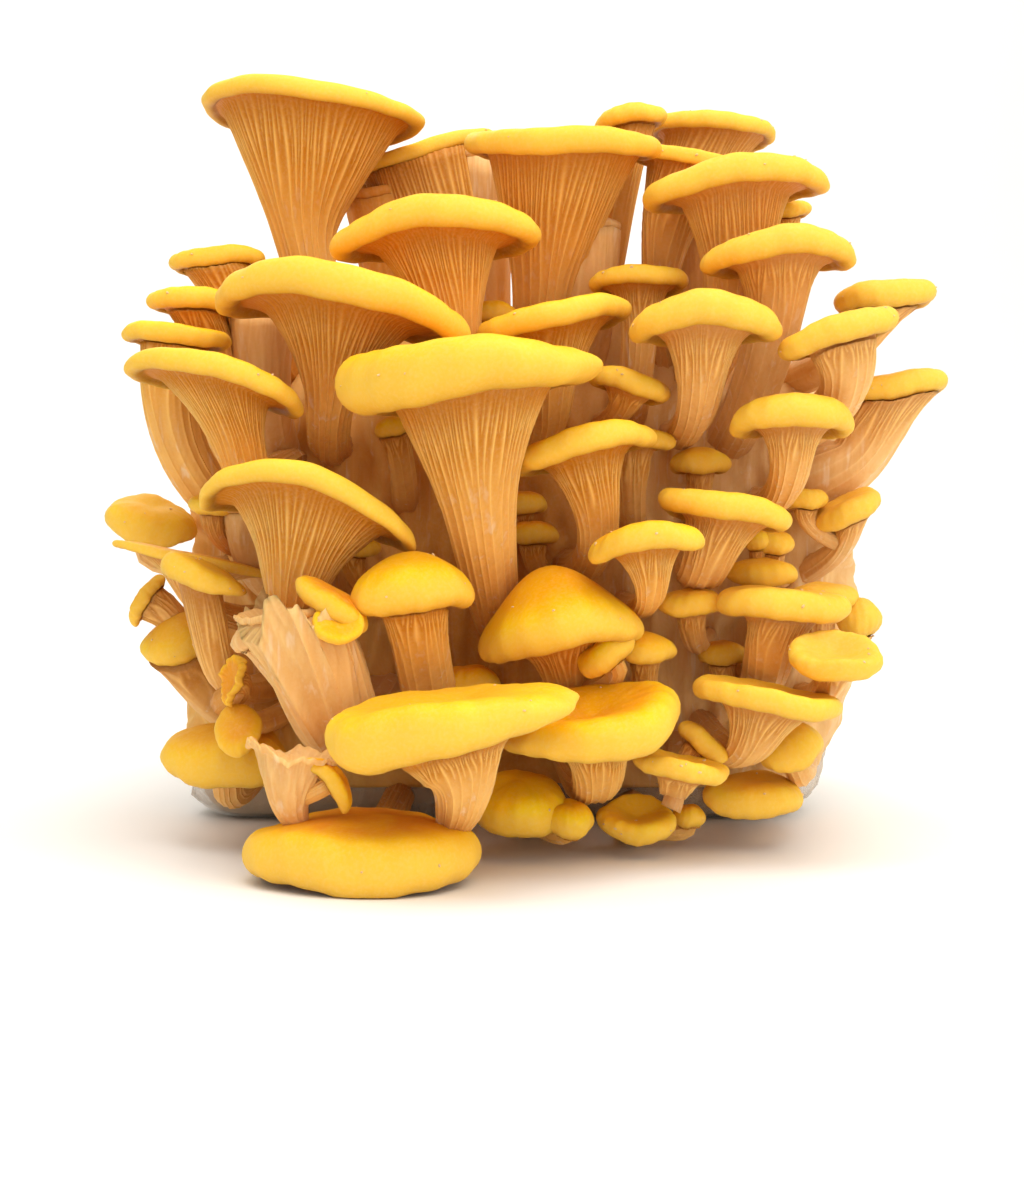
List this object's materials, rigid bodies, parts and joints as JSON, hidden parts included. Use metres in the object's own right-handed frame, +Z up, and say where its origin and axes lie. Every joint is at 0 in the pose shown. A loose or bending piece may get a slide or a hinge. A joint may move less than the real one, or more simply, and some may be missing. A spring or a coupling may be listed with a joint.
{
  "type": "oyster mushroom grow bag",
  "caption": "Fruiting grow bag: a colonised sawdust block in a clear film bag, hidden behind a dense flush of golden oyster mushrooms on its open front and top.",
  "frame": {"origin": "centre of the bag's flat underside, on the surface that it stands on", "axes": "+Z up, +Y to the bag's closed back, so the mushrooms grow out towards -Y; +X to the right as seen from the front"},
  "size_m": [0.2372, 0.231, 0.2085],
  "materials": {
    "golden_flesh": "satin, moist mushroom flesh",
    "clear_film": "glossy clear film",
    "colonised_sawdust": "rough sawdust bound by mycelium"
  },
  "bodies": {
    "root": {"arch": "golden_flesh", "biggest": "golden_flesh", "broken_trumpet": "golden_flesh", "crown_back": "golden_flesh", "crown_left": "golden_flesh", "crown_middle": "golden_flesh", "crown_right": "golden_flesh", "crown_right_front": "golden_flesh", "crown_second": "golden_flesh", "crown_shelf": "golden_flesh", "curved_stem": "golden_flesh", "dimpled": "golden_flesh", "far_left_lobe": "golden_flesh", "finger_pin": "golden_flesh", "folded_lobe": "golden_flesh", "front_dome": "golden_flesh", "front_long": "golden_flesh", "grow_bag": "clear_film", "leaning_middle": "golden_flesh", "left_bud": "golden_flesh", "left_lip": "golden_flesh", "left_ruffle": "golden_flesh", "left_shelf": "golden_flesh", "left_shoulder": "golden_flesh", "left_trumpet": "golden_flesh", "low_dish": "golden_flesh", "low_fan": "golden_flesh", "low_hollow": "golden_flesh", "low_left_dome": "golden_flesh", "low_right": "golden_flesh", "low_right_back": "golden_flesh", "lowest": "golden_flesh", "middle_bud": "golden_flesh", "middle_right": "golden_flesh", "middle_right_back": "golden_flesh", "middle_shelf": "golden_flesh", "outer_left_middle": "golden_flesh", "outer_left_top": "golden_flesh", "outer_right": "golden_flesh", "outer_right_fan": "golden_flesh", "outer_right_top": "golden_flesh", "right_behind": "golden_flesh", "right_broad": "golden_flesh", "right_dimpled": "golden_flesh", "right_ear": "golden_flesh", "right_front": "golden_flesh", "right_hollow": "golden_flesh", "right_knob": "golden_flesh", "right_low_arch": "golden_flesh", "right_shelf": "golden_flesh", "right_tilted": "golden_flesh", "small_dome": "golden_flesh", "stout_dome": "golden_flesh", "substrate_block": "colonised_sawdust", "tall_right": "golden_flesh", "tilted_left": "golden_flesh", "torn_small": "golden_flesh", "tucked_middle": "golden_flesh", "tucked_right": "golden_flesh", "under_biggest": "golden_flesh"}
  },
  "joints": []
}
